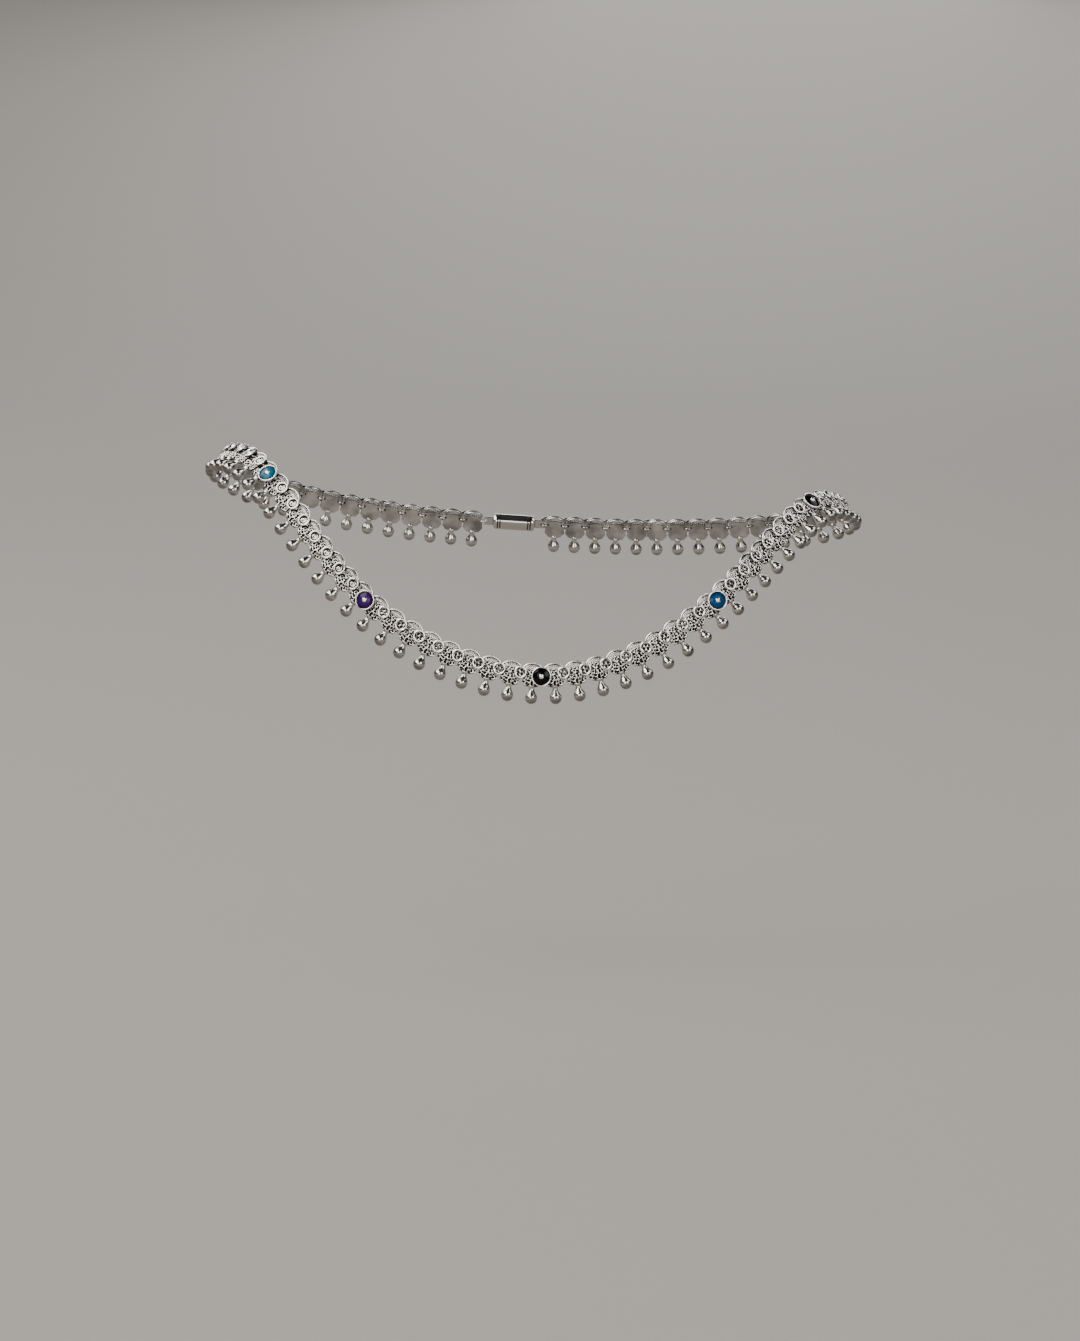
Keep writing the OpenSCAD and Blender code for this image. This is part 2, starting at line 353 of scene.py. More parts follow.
def spin(piece, steps, angle, centre, axis):
    """Spins the whole outline of a piece round an axis, and closes what comes out."""
    pick_only(piece)
    bpy.ops.object.mode_set(mode="EDIT")
    bpy.ops.mesh.select_all(action="SELECT")
    bpy.ops.mesh.spin(steps=steps, angle=angle, center=centre, axis=axis)
    return merge_close(piece)


def turn(name, outline, steps, centre=(0, 0, 0), axis=(0, 0, 1)):
    """A lathe: an outline drawn point by point and spun once round an axis."""
    clear_selection()
    bpy.ops.mesh.primitive_plane_add(size=0.1, location=outline[0])
    piece = settle(name)
    bpy.ops.object.mode_set(mode="EDIT")
    bpy.ops.mesh.select_all(action="SELECT")
    bpy.ops.mesh.merge(type="CENTER")
    for p, q in zip(outline, outline[1:]):
        step = tuple(Vector(q) - Vector(p))
        bpy.ops.mesh.extrude_vertices_move(TRANSFORM_OT_translate={"value": step})
    return spin(piece, steps, 2 * pi, centre, axis)


def arc_point(middle, radius, angle):
    """x and z of a point on an arc round (0, middle), at an angle in degrees from straight up."""
    return radius * sin(radians(angle)), middle + radius * cos(radians(angle))


def bent_wire(name, x, z, radius, wire, start, stop, steps, h, sides=8):
    """A round wire bent along an arc that lies in the link's face at height h, closed at both ends."""
    across, up = arc_point(z, radius, start)
    clear_selection()
    bpy.ops.mesh.primitive_circle_add(vertices=sides, radius=wire, fill_type="NGON",
                                      location=(x + across, -h, up),
                                      rotation=(0, pi / 2 + radians(start), 0))
    return spin(settle(name), steps, radians(start - stop), (x, -h, z), (0, 1, 0))


def ring_flat(name, x, z, h, radius, wire, segments, sides):
    """A small closed ring of wire that lies flat in the link's face."""
    clear_selection()
    bpy.ops.mesh.primitive_torus_add(location=(x, -h, z), rotation=(pi / 2, 0, 0),
                                     major_segments=segments, minor_segments=sides,
                                     major_radius=radius, minor_radius=wire)
    return settle(name)


def grain(x, z, h, radius):
    """A little silver ball, with few faces because there are hundreds."""
    clear_selection()
    bpy.ops.mesh.primitive_uv_sphere_add(segments=8, ring_count=5, radius=radius, location=(x, -h, z),
                                         rotation=(pi / 2, 0, 0))
    return settle("grain")


def rod(name, x, z, radius, low, high, vertices):
    """A round rod across the link's face, from height low to height high."""
    clear_selection()
    bpy.ops.mesh.primitive_cylinder_add(vertices=vertices, radius=radius, depth=high - low,
                                        location=(x, -(low + high) / 2, z), rotation=(pi / 2, 0, 0))
    return settle(name)


def slab(name, x0, x1, z0, z1, low, high):
    """A block between two places along the chain, two up it and two heights."""
    clear_selection()
    bpy.ops.mesh.primitive_cube_add(size=1, location=((x0 + x1) / 2, -(low + high) / 2, (z0 + z1) / 2))
    bpy.context.object.scale = (x1 - x0, high - low, z1 - z0)
    return settle(name)


def cut(piece, tool, how="DIFFERENCE"):
    """A boolean of a piece with a tool, which is used up."""
    modifier = piece.modifiers.new("cut", "BOOLEAN")
    modifier.operation, modifier.object, modifier.solver = how, tool, "EXACT"
    pick_only(piece)
    bpy.ops.object.modifier_apply(modifier="cut")
    bpy.data.objects.remove(tool)


def soften_edges(piece, width, segments, over):
    """A bevel on all edges that are sharper than an angle in degrees."""
    modifier = piece.modifiers.new("edge", "BEVEL")
    modifier.width, modifier.segments = width, segments
    modifier.limit_method, modifier.angle_limit = "ANGLE", radians(over)
    pick_only(piece)
    bpy.ops.object.modifier_apply(modifier="edge")


def smooth(piece, degrees):
    """Smooth shading, with edges left sharp over an angle."""
    pick_only(piece)
    bpy.ops.object.shade_smooth_by_angle(angle=radians(degrees))
    return piece


def join(name, parts):
    """Joins parts into the first of them, under a new name."""
    pick_only(*parts)
    if len(parts) > 1:
        bpy.ops.object.join()
    piece = bpy.context.object
    piece.name = name
    return piece


def share(value, low, high):
    """How far a value lies from low to high, from 0 to 1."""
    return min(1, max(0, (value - low) / (high - low)))


def polish_by(piece, rule):
    """Writes how polished each point is, from 0 in a dark recess to 1, by a rule on its x, h and z."""
    attributes = piece.data.attributes
    layer = attributes.get("polish") or attributes.new("polish", "FLOAT", "POINT")
    for point, mark in zip(piece.data.vertices, layer.data):
        mark.value = rule(point.co.x, -point.co.y, point.co.z)
    return piece


def polish_evenly(piece, value):
    """The same polish all over."""
    return polish_by(piece, lambda x, h, z: value)


# The side against the ankle is rubbed bare by wear
BACK_POLISH = 0.45


def polish_upwards(piece, low, high, deep=0.0, top=1.0, back=None):
    """Polish from deep at height low to top at height high, with the side under height back worn bare."""
    def rule(x, h, z):
        if back is not None and h < back:
            return BACK_POLISH
        return deep + (top - deep) * share(h, low, high)
    return polish_by(piece, rule)


# One link's plate, arch and rims

# Half the thickness of the plate and of its shoulders, and how far the cutting tools reach to both sides
SILVER_HALF, SHOULDER_HALF, THROUGH = 0.18, 0.17, 0.5
# Middles and radii of the arcs: the fan's upper and lower edge, the arch's shoulders, the side notches
FAN_Z, FAN_R = -1.8, 2.5
LOWER_Z, LOWER_R = 0.4, 2.75
ARCH_Z, SHOULDER_R = -0.45, 2.04
NOTCH_Z, NOTCH_R = -2.1, 0.5
# Half the plate's width, and where its shoulders begin
HALF_WIDTH, SHOULDER_FROM = 1.58, 1.2
# A ring hole, and how far its middle lies in from the end of the link's place
HOLE_R, HOLE_INSET = 0.25, 0.47
# The low dome on the face: its middle, its radius, and how far it rises over the plate
SWELL_Z, SWELL_R, SWELL_RISE = -0.95, 1.2, 0.27
PLATE_BEVEL = 0.035
# The arch's wires: middle line, wire radius, height, and how far each runs from the top in degrees
OUTER_R, OUTER_WIRE, OUTER_H, OUTER_TURN = 1.995, 0.11, 0.17, 47
INNER_R, INNER_WIRE, INNER_H, INNER_TURN = 1.705, 0.08, 0.14, 44
SOLDER_H, SOLDER_TURN = -0.02, 45
# The thin wires along the plate's edges: how far each lies in from its edge, radius, height and turn
FAN_RIM_IN, FAN_RIM_WIRE, FAN_RIM_H, FAN_RIM_TURN = 0.07, 0.065, 0.19, 27
LOWER_RIM_IN, LOWER_RIM_WIRE, LOWER_RIM_H, LOWER_RIM_TURN = 0.06, 0.06, 0.17, 26
NOTCH_RIM_IN, NOTCH_RIM_WIRE, NOTCH_RIM_H, NOTCH_RIM_TURNS = 0.07, 0.055, 0.17, (78, 18)


def swell_height(x, z):
    """Height of the plate's domed face over its middle."""
    return SILVER_HALF + SWELL_RISE * max(0, 1 - (x * x + (z - SWELL_Z) ** 2) / SWELL_R ** 2)


def make_blank():
    """The flat silver: a fan between two arcs, with a shoulder and a ring hole at each side."""
    plate = rod("fan_plate", 0, FAN_Z, FAN_R, -SILVER_HALF, SILVER_HALF, 112)
    cut(plate, rod("lower_edge", 0, LOWER_Z, LOWER_R, -THROUGH, THROUGH, 112), "INTERSECT")
    cut(plate, slab("side_edges", -HALF_WIDTH, HALF_WIDTH, -3, 3, -THROUGH, THROUGH), "INTERSECT")
    shoulders = rod("shoulders", 0, ARCH_Z, SHOULDER_R, -SHOULDER_HALF, SHOULDER_HALF, 96)
    band = slab("shoulder_band", -HALF_WIDTH, HALF_WIDTH, -0.3, 2, -THROUGH, THROUGH)
    cut(shoulders, band, "INTERSECT")
    cut(shoulders, slab("under_arch", -SHOULDER_FROM, SHOULDER_FROM, -1, 3, -THROUGH, THROUGH))
    cut(plate, shoulders, "UNION")
    for side in (-1, 1):
        cut(plate, rod("ring_hole", side * (PITCH / 2 - HOLE_INSET), 0, HOLE_R, -THROUGH, THROUGH, 20))
        cut(plate, rod("notch", side * PITCH / 2, NOTCH_Z, NOTCH_R, -THROUGH, THROUGH, 28))
    merge_close(plate, 2 * MERGE)
    soften_edges(plate, PLATE_BEVEL, segments=1, over=50)
    return merge_close(plate)


def make_swell():
    """The low dome on the face, which the lace covers."""
    rise = [(SWELL_R * k / 6, -swell_height(SWELL_R * k / 6, SWELL_Z), SWELL_Z) for k in range(7)]
    under = [(SWELL_R, -0.1, SWELL_Z), (0, -0.1, SWELL_Z)]
    return turn("fan_swell", rise + under, 32, centre=(0, 0, SWELL_Z), axis=(0, 1, 0))


def make_plate():
    """The plate under the lace: near black on its face, tarnished and painted as the shade in the pits
    between the loops and under the arch, and rubbed at its edges and its back.
    """
    face = SILVER_HALF - 0.02
    # The face and the dome under the lace are painted near black: painted shade in the pits between the
    # loops and in the gap under the arch, as well as tarnish.
    plate = polish_by(make_blank(), lambda x, h, z: 0 if h > face else 0.4)
    dome = smooth(polish_evenly(make_swell(), 0), 80)
    return smooth(join("fan_plate", [plate, dome]), 35)


def make_arch():
    """The two arch wires with solder between them, painted black as the shade in their gap, and the thin
    wire along the plate's edges.
    """
    outer = bent_wire("outer_arch", 0, ARCH_Z, OUTER_R, OUTER_WIRE, -OUTER_TURN, OUTER_TURN,
                      steps=20, h=OUTER_H)
    inner = bent_wire("inner_arch", 0, ARCH_Z, INNER_R, INNER_WIRE, -INNER_TURN, INNER_TURN,
                      steps=18, h=INNER_H, sides=6)
    wires = [polish_upwards(wire, low=0.08, high=0.2, deep=0.1, back=0.08) for wire in (outer, inner)]
    between = (OUTER_R + INNER_R) / 2
    solder = bent_wire("solder", 0, ARCH_Z, between, OUTER_WIRE, -SOLDER_TURN, SOLDER_TURN,
                       steps=16, h=SOLDER_H, sides=6)
    # The solder's face is painted black: painted shade in the gap between the two wires.
    polish_by(solder, lambda x, h, z: BACK_POLISH if h < SOLDER_H - 0.01 else 0)
    rims = [bent_wire("fan_rim", 0, FAN_Z, FAN_R - FAN_RIM_IN, FAN_RIM_WIRE,
                      -FAN_RIM_TURN, FAN_RIM_TURN, steps=14, h=FAN_RIM_H, sides=6),
            bent_wire("lower_rim", 0, LOWER_Z, LOWER_R - LOWER_RIM_IN, LOWER_RIM_WIRE,
                      180 - LOWER_RIM_TURN, 180 + LOWER_RIM_TURN, steps=16, h=LOWER_RIM_H, sides=6)]
    for side in (-1, 1):
        start, stop = (-side * turn_by for turn_by in NOTCH_RIM_TURNS)
        rims.append(bent_wire("notch_rim", side * PITCH / 2, NOTCH_Z, NOTCH_R + NOTCH_RIM_IN,
                              NOTCH_RIM_WIRE, start, stop, steps=8, h=NOTCH_RIM_H, sides=6))
    for rim in rims:
        polish_upwards(rim, low=0.12, high=0.24, deep=0.2)
    return smooth(join("arch", wires + [solder] + rims), 60)


# The lace

# Rows of loops and grains on arcs: the arc's middle and radius, and the turns from straight up in degrees
LOOP_ROWS = ((LOWER_Z, -2.3, (-35, -24, -12, 12, 24, 35)),
             (LOWER_Z, -1.8, (-45, -31, -15.5, 0, 15.5, 31, 45)),
             (LOWER_Z, -1.3, (-34, -11, 11, 34)), (LOWER_Z, -0.82, (-38, 0, 38, 70)),
             (FAN_Z, 1.85, (-8.5, 8.5)), (FAN_Z, 2.2, (-14, 0, 14)))
GRAIN_ROWS = ((LOWER_Z, -2.05, (-29, -18, 18, 29)), (LOWER_Z, -1.55, (-23, 0, 23)),
              (LOWER_Z, -1.06, (0,)), (FAN_Z, 2.04, (0,)))
LACE_WIRE, LACE_GRAIN = 0.08, 0.12
# How unevenly the loops lie: shift, lean in degrees, height over the dome, and radius
SHIFT, LOOP_LEAN = 0.04, 18
LOOP_LIFT, LOOP_RADIUS = (0.04, 0.11), (0.21, 0.28)
# The rings under the arch: the row's radius and height, a ring's radius and wire, and its step in degrees
TOP_ROW_R, TOP_ROW_H, TOP_LOOP, TOP_WIRE, TOP_STEP = 2.68, 0.08, 0.145, 0.075, 7.4


def row_spots(rows):
    """x and z of each spot, row by row."""
    return [arc_point(middle, radius, angle) for middle, radius, turns in rows for angle in turns]


def lean_loop(loop, x, h, z, tip, twist):
    """Tips a loop up and twists it sideways about its own middle, in degrees."""
    there, back = Matrix.Translation((x, -h, z)), Matrix.Translation((-x, h, -z))
    leaning = Matrix.Rotation(radians(tip), 4, "X") @ Matrix.Rotation(radians(twist), 4, "Z")
    loop.data.transform(there @ leaning @ back)


def make_lace():
    """Little loops and grains soldered close together over the fan, and a row of rings under the arch."""
    hand = Random(11)
    parts = []
    for x, z in row_spots(LOOP_ROWS):
        x += hand.uniform(-SHIFT, SHIFT)
        z += hand.uniform(-SHIFT, SHIFT)
        h = swell_height(x, z) + hand.uniform(*LOOP_LIFT)
        loop = ring_flat("loop", x, z, h, hand.uniform(*LOOP_RADIUS), LACE_WIRE, 12, 5)
        tip = hand.uniform(-LOOP_LEAN, LOOP_LEAN)
        lean_loop(loop, x, h, z, tip, hand.uniform(-LOOP_LEAN, LOOP_LEAN))
        parts.append(polish_upwards(loop, h + 0.015, h + 0.075))
    for x, z in row_spots(GRAIN_ROWS):
        h = swell_height(x, z)
        parts.append(polish_upwards(grain(x, z, h + 0.1, LACE_GRAIN), h + 0.06, h + 0.18))
    for k in range(-3, 4):
        x, z = arc_point(FAN_Z, TOP_ROW_R, k * TOP_STEP)
        loop = ring_flat("top_loop", x, z, TOP_ROW_H, TOP_LOOP, TOP_WIRE, 10, 5)
        parts.append(polish_upwards(loop, low=0.11, high=0.155, top=0.85, back=0.05))
    return smooth(join("lace", parts), 80)


# The pear drop

# Its ball, and its side above the ball from the top down: distance from its middle line, and z
BALL_Z, BALL_R = -4, 0.985
NECK = ((0, -1.86), (0.32, -1.92), (0.53, -2.06), (0.53, -2.16), (0.46, -2.3), (0.42, -2.48),
        (0.43, -2.68), (0.5, -2.9), (0.6, -3.1), (0.7, -3.27))
# The collar's polish and its lower end; then the ball's painted shade towards its foot: its least polish,
# where the darkening starts and how fast
COLLAR_POLISH, COLLAR_Z = 0.6, -2.1
FOOT_SHADED_POLISH, FOOT_Z, FOOT_SHADING_RATE = 0.42, -3.7, 0.85


def make_drop():
    """A drop with a collar and a slim neck over its ball, duller at the collar, and painted darker towards
    its foot as painted shade.
    """
    side = list(NECK) + [arc_point(BALL_Z, BALL_R, angle) for angle in range(52, 180, 14)]
    outline = [(x, 0, z) for x, z in side + [(0, BALL_Z - BALL_R)]]

    def rule(x, h, z):
        if z > COLLAR_Z:
            return COLLAR_POLISH
        # Below FOOT_Z the polish falls off downwards: painted shade on the ball's lower part.
        return max(FOOT_SHADED_POLISH, min(1, 1 + FOOT_SHADING_RATE * (z - FOOT_Z)))
    return smooth(polish_by(turn("pear_drop", outline, 26), rule), 80)


# Rosettes and dots

# Both stand on posts over the meeting place of two links. First a rosette's middle, its top and its disc
ROSETTE_X, ROSETTE_TOP = 1.5, 1.0
DISC_R, DISC_LOW, DISC_HIGH = 0.82, 0.7, 0.76
# A rim's middle line and wire radius, on the pierced rosettes and on the coiled ones
PIERCED_RIM, COILED_RIM = (0.865, 0.16), (0.855, 0.165)
# The wire inside the rim: its height, the radius of a loop's wire, and a coil's wire, start and tightening
INSIDE_H, LOOP_WIRE = 0.86, 0.068
COIL_WIRE, COIL_R, COIL_STEP = 0.115, 0.43, 0.145
# The posts under rosettes and cups: their heights, radius and places
POST_LOW, POST_HIGH = 0.1, 0.74
ROSETTE_POST_R, ROSETTE_POSTS = 0.17, ((0.98, -0.43), (0.98, 0.43))
CUP_POST_R, CUP_POSTS = 0.19, ((0.92, -0.95), (0.92, 0.4))
# A dot's cup: its middle, the radius of its wall, the height of its floor, and its round rim
CUP_X, CUP_Z = 1.42, -0.5
CUP_WALL, CUP_FLOOR = 1.5, 0.88
CUP_RIM, RIM_HEIGHT = 0.1, 1.17
# The grain in the cup's middle, from its top down: distance from the middle, and height
CUP_GRAIN = ((0, 1.5), (0.08, 1.51), (0.13, 1.56), (0.22, 1.55), (0.32, 1.49), (0.39, 1.4), (0.42, 1.28))
# The ring of glass in the cup: its inner and outer radius and underside, and its crown's radius and middle
GLASS_HOLE, GLASS_R, GLASS_LOW = 0.47, 1.38, 0.9
CROWN_R, CROWN_MIDDLE = 3, -1.63


def make_posts(radius, places):
    """The posts between the plate and what it carries."""
    return [polish_evenly(rod("post", x, z, radius, POST_LOW, POST_HIGH, 10), 0.15) for x, z in places]


def rosette_base(rim_radius, rim_wire):
    """A rosette's disc, painted near black as the shade seen through its loops, its thick wire rim and its
    posts.
    """
    disc = rod("back_disc", ROSETTE_X, 0, DISC_R, DISC_LOW, DISC_HIGH, 28)
    # The disc's face is painted near black: painted shade in the holes between the loops.
    polish_by(disc, lambda x, h, z: BACK_POLISH if h < DISC_LOW + 0.02 else 0.02)
    rim = ring_flat("rosette_rim", ROSETTE_X, 0, ROSETTE_TOP - rim_wire, rim_radius, rim_wire, 30, 8)
    polish_upwards(rim, low=DISC_HIGH, high=0.9, deep=0.05)
    return [disc, rim] + make_posts(ROSETTE_POST_R, ROSETTE_POSTS)


def make_pierced_rosette(name, loops, turned, reach, radius, middle):
    """Small wire loops in a round, with a grain between them, inside a thick wire rim."""
    parts = rosette_base(*PIERCED_RIM)
    for k in range(loops):
        a = radians(360 * k / loops + turned)
        x, z = ROSETTE_X + reach * cos(a), reach * sin(a)
        loop = ring_flat("loop", x, z, INSIDE_H, radius, LOOP_WIRE, 14, 5)
        parts.append(polish_upwards(loop, low=0.85, high=0.95))
    parts.append(polish_upwards(grain(ROSETTE_X, 0, 0.88, middle), low=0.88, high=0.98))
    return smooth(join(name, parts), 60)


def open_inside(wire):
    """Takes the caps out where two stretches of a wire meet."""
    merge_close(wire)
    bpy.ops.object.mode_set(mode="EDIT")
    bpy.ops.mesh.select_all(action="DESELECT")
    bpy.ops.mesh.select_interior_faces()
    bpy.ops.mesh.delete(type="FACE")
    return merge_close(wire)


def make_coiled_rosette():
    """A wire wound inwards in three half turns, inside the same rim."""
    coil = []
    middle, radius = 0, COIL_R
    for start in (0, 180, 360):
        coil.append(bent_wire("coil", ROSETTE_X, middle, radius, COIL_WIRE, start, start + 180,
                              steps=12, h=INSIDE_H, sides=7))
        end = middle + radius * cos(radians(start + 180))
        radius -= COIL_STEP
        middle = end - radius * cos(radians(start + 180))
    wire = polish_upwards(open_inside(join("coil", coil)), low=0.8, high=0.92)
    return smooth(join("coiled_rosette", rosette_base(*COILED_RIM) + [wire]), 60)


def turn_at_cup(name, outline, steps):
    """Turns an outline of distance and height round the cup's middle."""
    drawn = [(CUP_X + x, -h, CUP_Z) for x, h in outline]
    return turn(name, drawn, steps, centre=(CUP_X, 0, CUP_Z), axis=(0, 1, 0))


def make_bezel():
    """The round cup for an enamel dot, with a silver grain standing up in its middle."""
    floor = [(CUP_GRAIN[-1][0], CUP_FLOOR), (CUP_WALL - CUP_RIM, CUP_FLOOR)]
    rim = [(CUP_WALL + CUP_RIM * cos(radians(a)), RIM_HEIGHT + CUP_RIM * sin(radians(a)))
           for a in range(180, -1, -30)]
    foot = [(CUP_WALL + CUP_RIM, 0.86), (1.52, 0.72), (0, DISC_LOW)]
    cup = turn_at_cup("bezel", list(CUP_GRAIN) + floor + rim + foot, 56)

    def rule(x, h, z):
        if h < 0.8:
            return BACK_POLISH
        return 0.15 if h < 0.95 else 1
    polish_by(cup, rule)
    return smooth(join("bezel", [cup] + make_posts(CUP_POST_R, CUP_POSTS)), 40)


def make_enamel():
    """The crowned ring of glass round the cup's grain, painted lighter further in and darker at its rim,
    as painted light and shade.
    """
    across = [GLASS_HOLE + (GLASS_R - 0.02 - GLASS_HOLE) * k / 8 for k in range(9)]
    top = [(x, sqrt(CROWN_R ** 2 - x ** 2) + CROWN_MIDDLE) for x in across]
    edge = [(GLASS_R, 1.02), (GLASS_R, GLASS_LOW)]
    outline = [(GLASS_HOLE, GLASS_LOW)] + top + edge + [(GLASS_HOLE, GLASS_LOW)]

    # How far in from the rim a point lies, which sets the painted light and shade of the glass.
    def rule(x, h, z):
        return share(GLASS_R - hypot(x - CUP_X, z - CUP_Z), 0, 0.7)
    return smooth(polish_by(turn_at_cup("enamel", outline, 64), rule), 45)


# Rings and clasp

# A jump ring's radius and wire, and the gap between its ends in degrees
RING_R, RING_WIRE, RING_GAP = 0.5, 0.09, 16
# The barrel's half length and radius, and the grooves at one of its like ends
BARREL_HALF, BARREL_R = 3.5, 1.3
GROOVES, GROOVE_DEEP = (-2.75, -2.35), 0.09
# A tab: half its width, its reach into the barrel, how far it stops short of its place's end, its bevel
TAB_HALF, TAB_IN, TAB_SHORT, TAB_BEVEL = 0.7, 0.3, 0.145, 0.05


def make_ring():
    """A jump ring bent round until its ends almost meet."""
    start = radians(RING_GAP / 2)
    clear_selection()
    end = (RING_R * sin(start), RING_R * cos(start), 0)
    bpy.ops.mesh.primitive_circle_add(vertices=8, radius=RING_WIRE, fill_type="NGON", location=end,
                                      rotation=(0, pi / 2, -start))
    ring = spin(settle("jump_ring"), 24, radians(360 - RING_GAP), (0, 0, 0), (0, 0, 1))
    return smooth(polish_evenly(ring, 0.6), 70)


def make_barrel():
    """The clasp's barrel, with rounded ends and two dark grooves at each."""
    low = BARREL_R - GROOVE_DEEP
    end = -BARREL_HALF
    turned = [(end, 0), (end, 0.8), (end + 0.1, 1.1), (end + 0.4, BARREL_R)]
    for x in GROOVES:
        turned += [(x - 0.1, BARREL_R), (x - 0.05, low), (x + 0.05, low), (x + 0.1, BARREL_R)]
    turned += [(-x, y) for x, y in reversed(turned)]
    barrel = turn("barrel", [(x, 0, y) for x, y in turned], 40, axis=(1, 0, 0))
    return polish_by(barrel, lambda x, h, z: 0.1 if abs(hypot(h, z) - low) < 0.01 else 1)


def make_tab(side):
    """A tab at one end of the barrel, with a hole for the last jump ring."""
    reach = CLASP_PLACES * PITCH / 2
    low, high = sorted((side * (BARREL_HALF - TAB_IN), side * (reach - TAB_SHORT)))
    tab = slab("tab", low, high, -TAB_HALF, TAB_HALF, -SILVER_HALF, SILVER_HALF)
    cut(tab, rod("tab_hole", side * (reach - HOLE_INSET), 0, HOLE_R, -THROUGH, THROUGH, 20))
    soften_edges(tab, TAB_BEVEL, segments=2, over=60)
    return polish_evenly(tab, 0.75)


def make_clasp():
    """The barrel with its two tabs."""
    return smooth(join("barrel_pattern", [make_barrel(), make_tab(-1), make_tab(1)]), 35)


# The pieces on the loop

# The links and the rings of each half, counted round the loop from the front
HALVES = {"right": range(0, CLASP_FROM), "left": range(CLASP_TO, PLACES)}
RINGS_AT = {"right": range(1, CLASP_FROM + 1), "left": range(CLASP_TO, PLACES + 1)}
# A dot stands on the link before its meeting place
DOTTED = {(step - 1) % PLACES: node for node, (step, _) in DOTS.items()}
# From the clasp to the first dot on the left, the rosettes are coils
COILED = range(CLASP_TO, (DOTS["dot_left_1"][0] - 1) % PLACES)


def spread(name, patterns, places):
    """Copies of a pattern, each with its own mesh, joined into one piece. Several patterns take turns."""
    made = []
    for k, place in enumerate(places):
        pattern = patterns[k % len(patterns)]
        copy = pattern.copy()
        copy.data = pattern.data.copy()
        copy.data.transform(place)
        bpy.context.scene.collection.objects.link(copy)
        made.append(copy)
    return join(name, made)


def finish_piece(piece, material, slot, *nodes):
    """Gives a piece its material and its body, and hides the CAD parts that it stands for. The slot is not
    used.
    """
    piece.data.materials.clear()
    piece.data.materials.append(material)
    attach(piece, "root")
    if nodes:
        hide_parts(*nodes)


def clear_away(patterns):
    """Removes patterns once their copies stand in their places."""
    for pattern in patterns:
        bpy.data.objects.remove(pattern)


def link_kinds():
    """Each kind of part on the links: its patterns and its material."""
    pierced = [make_pierced_rosette("four_loops", 4, 30, reach=0.43, radius=0.25, middle=0.1),
               make_pierced_rosette("three_loops", 3, 70, reach=0.38, radius=0.32, middle=0.12),
               make_pierced_rosette("three_loops_turned", 3, 20, reach=0.38, radius=0.32, middle=0.12)]
    return {"fan_plates": ([make_plate()], FILIGREE), "arches": ([make_arch()], RIMS),
            "wire_lace": ([make_lace()], LACE), "pear_drops": ([make_drop()], DROPS),
            "pierced_rosettes": (pierced, RIMS), "coiled_rosettes": ([make_coiled_rosette()], RIMS),
            "bezels": ([make_bezel()], RIMS)}


def links_with(kind, span):
    """The links of a stretch that carry a kind of part."""
    if kind == "bezels":
        return [i for i in span if i in DOTTED]
    if kind == "coiled_rosettes":
        return [i for i in span if i in COILED and i not in DOTTED]
    if kind == "pierced_rosettes":
        return [i for i in span if i not in COILED and i not in DOTTED]
    return span


def place_links():
    """Both halves' plates, arches, lace, drops, rosettes and bezels."""
    kinds = link_kinds()
    for half, span in HALVES.items():
        for kind, (patterns, material) in kinds.items():
            places = [link_place(i) for i in links_with(kind, span)]
            if places:
                piece = spread(kind + "_" + half, patterns, places)
                finish_piece(piece, material, "silver", "links_" + half)
    for patterns, _ in kinds.values():
        clear_away(patterns)


def place_rings():
    """The jump rings of both halves."""
    ring = make_ring()
    for half, span in RINGS_AT.items():
        rings = spread("jump_rings_" + half, [ring], [ring_place(i % PLACES) for i in span])
        finish_piece(rings, FILIGREE, "silver", "rings_" + half)
    clear_away([ring])


def place_dots():
    """The glass of each dot, in its own colour."""
    glass = make_enamel()
    for i, node in DOTTED.items():
        tint = DOTS[node][1]
        dot = spread("enamel_" + node, [glass], [link_place(i)])
        finish_piece(dot, ENAMELS[tint], "enamel_" + tint, node)
    clear_away([glass])


def place_clasp():
    """The clasp at the middle of the back."""
    barrel = make_clasp()
    finish_piece(spread("barrel_clasp", [barrel], [clasp_place()]), DROPS, "silver", "clasp")
    clear_away([barrel])


place_links()
place_rings()
place_dots()
place_clasp()


# Floor and light

# In metres: the floor's height and flat radius, how far its edge runs out and up, and the wall over it
FLOOR_Z, FLOOR_R = -0.065, 1.3
COVE_OUT, COVE_UP = 0.9, 0.6
WALL_R, WALL_Z = FLOOR_R + COVE_OUT, FLOOR_Z + COVE_UP
# Each row of the upper wall: how much wider or narrower it is than the row below, and how far up
WALL_ROWS = ((1, 0.8), (0.9, 0.7), (0.6, 0.3))


def paper(name, low, high):
    """Matt paper that is pale at the floor and grows darker up the wall."""
    material, tree, connect, shader = new_material(name, {"Roughness": 0.9})
    place, split = new_node(tree, "TexCoord"), new_node(tree, "SeparateXYZ")
    connect(place.outputs["Object"], split.inputs["Vector"])
    height = new_node(tree, "MapRange", {"From Min": 0.05, "From Max": 0.75},
                      interpolation_type="SMOOTHSTEP")
    connect(split.outputs["Z"], height.inputs["Value"])
    tone = new_node(tree, "Mix", {"A": low, "B": high}, data_type="RGBA")
    connect(height.outputs["Result"], tone.inputs["Factor"])
    connect(tone.outputs["Result"], shader.inputs["Base Color"])
    return material


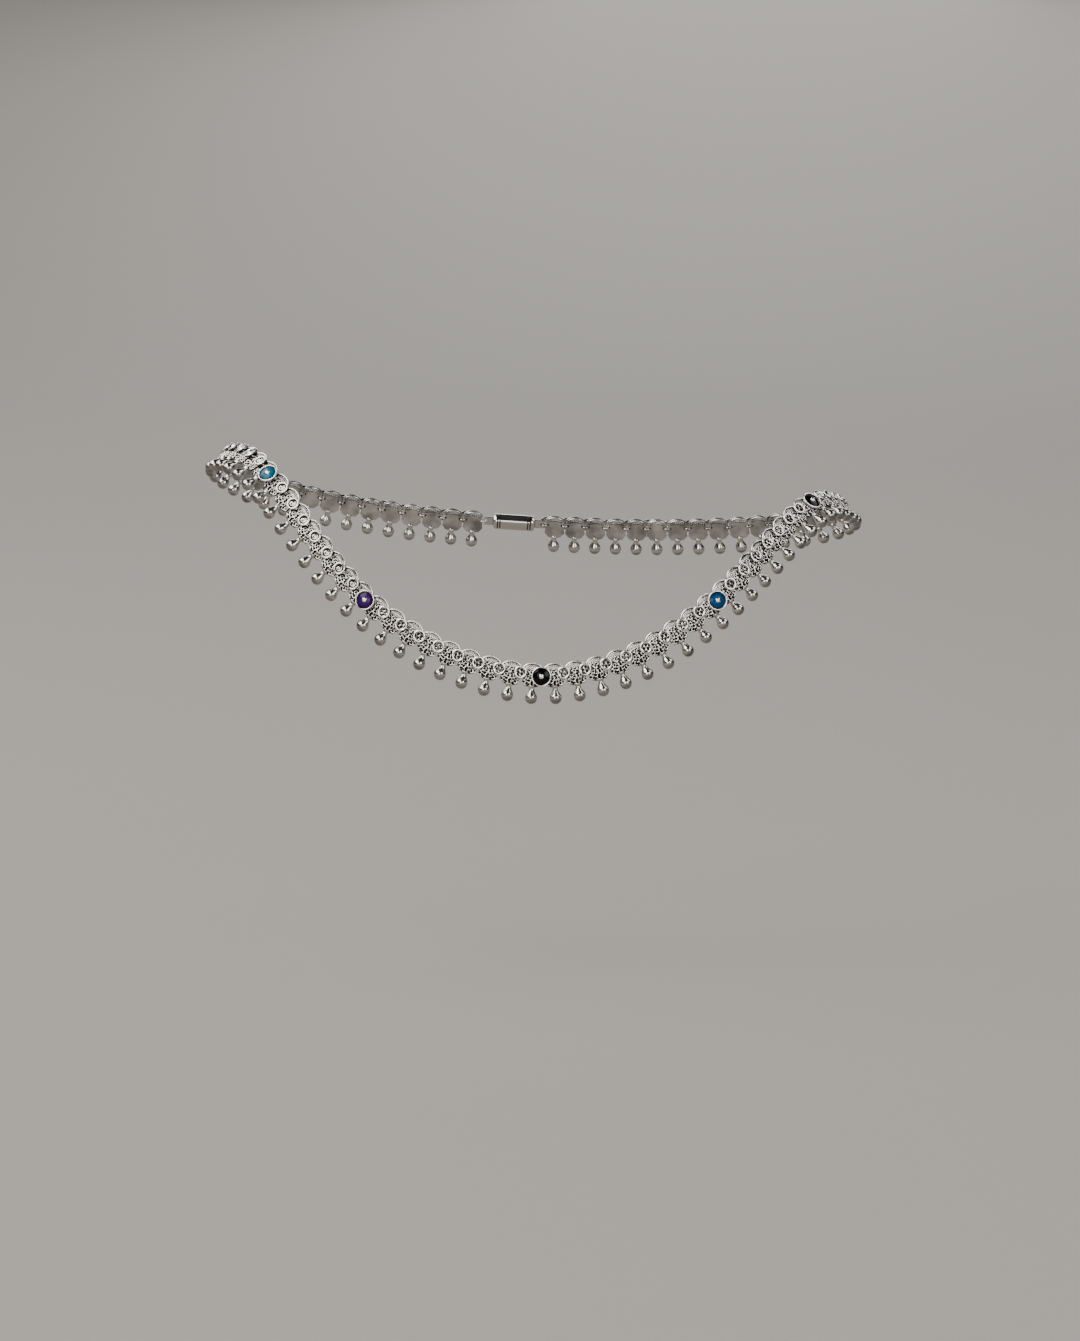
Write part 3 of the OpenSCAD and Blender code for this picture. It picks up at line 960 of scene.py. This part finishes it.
def round_sheet(name, radius, height, rows, material, filled):
    """A round sheet whose edge is drawn outwards and up, row by row, from a filled or an open circle."""
    clear_selection()
    fill = "NGON" if filled else "NOTHING"
    bpy.ops.mesh.primitive_circle_add(vertices=96, radius=radius, fill_type=fill, location=(0, 0, height))
    sheet = settle(name)
    bpy.ops.object.mode_set(mode="EDIT")
    bpy.ops.mesh.select_all(action="SELECT")
    for out, up in rows:
        bpy.ops.mesh.extrude_region_move(TRANSFORM_OT_translate={"value": (0, 0, up)})
        bpy.ops.transform.resize(value=(out, out, 1), center_override=(0, 0, 0))
    if filled:
        bpy.ops.mesh.delete(type="ONLY_FACE")
    bpy.ops.object.mode_set(mode="OBJECT")
    sheet.data.materials.append(material)
    smooth(sheet, 60)


def soft_light(name, place, size, power, colour=(1, 1, 1)):
    """A round soft lamp that faces the anklet."""
    lamp = bpy.data.lights.new(name, "AREA")
    lamp.shape, lamp.size, lamp.energy, lamp.color = "DISK", size, power, colour
    stand = bpy.data.objects.new(name, lamp)
    stand.location = place
    stand.rotation_euler = (-Vector(place)).to_track_quat("-Z", "Y").to_euler()
    stand.visible_camera = False
    bpy.context.scene.collection.objects.link(stand)


def dim_room(colour, strength):
    """The little light that comes from all around."""
    world = bpy.data.worlds.new("studio")
    world.use_nodes = True
    background = world.node_tree.nodes["Background"]
    background.inputs["Color"].default_value = colour
    background.inputs["Strength"].default_value = strength
    bpy.context.scene.world = world


pale_paper = paper("pale_paper", low=(0.262, 0.248, 0.229, 1), high=(0.05, 0.05, 0.052, 1))
cove = [(FLOOR_R + COVE_OUT * sin(radians(a)), COVE_UP * (1 - cos(radians(a)))) for a in range(0, 91, 9)]
cove_rows = [(b[0] / a[0], b[1] - a[1]) for a, b in zip(cove, cove[1:])]
round_sheet("floor", FLOOR_R, FLOOR_Z, cove_rows, pale_paper, filled=True)
round_sheet("upper_wall", WALL_R, WALL_Z, WALL_ROWS, pale_paper, filled=False)
soft_light("key_light", (-0.95, -0.65, 1.2), size=1.2, power=25, colour=(1, 0.97, 0.93))
soft_light("front_light", (-0.35, -1.6, 0.5), size=0.85, power=10, colour=(1, 0.98, 0.95))
soft_light("right_light", (0.95, -1.25, 0.65), size=0.95, power=10)
soft_light("left_top_light", (-1.0, 0.45, 1.05), size=1.2, power=21, colour=(1, 0.98, 0.95))
soft_light("right_top_light", (0.95, 0.1, 1.05), size=0.9, power=7)
soft_light("back_light", (0.1, 1.75, 0.5), size=0.9, power=7)
dim_room(colour=(0.5, 0.5, 0.52, 1), strength=0.1)
